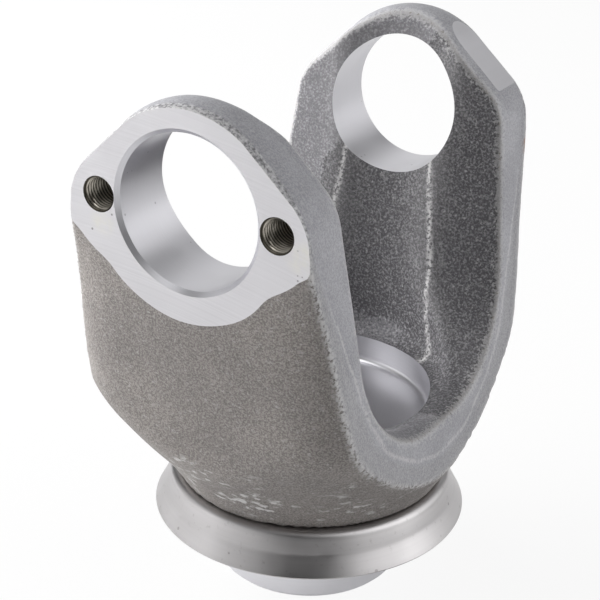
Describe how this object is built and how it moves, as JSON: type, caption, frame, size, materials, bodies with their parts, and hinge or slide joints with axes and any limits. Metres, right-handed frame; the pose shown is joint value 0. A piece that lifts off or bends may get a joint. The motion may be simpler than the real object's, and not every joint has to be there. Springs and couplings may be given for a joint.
{
  "type": "forged end yoke",
  "caption": "Forged U-shaped end yoke with coaxial cross bores, tapped holes beside each bore, a splined hub with a nut seat, and a pressed-on flared dust deflector.",
  "frame": {"origin": "centre of the hub's end face, on the hub axis", "axes": "+Z along the hub axis from the hub's end towards the ears, Y along the cross bores, and the throat open towards +X and -X"},
  "size_m": [0.1126, 0.1548, 0.1917],
  "materials": {
    "forging": "as-forged, sand-grained steel with bright machined faces and bores",
    "deflector": "bright pressed sheet steel, satin"
  },
  "bodies": {
    "root": {"yoke": "forging", "dust_deflector": "deflector"}
  },
  "joints": []
}
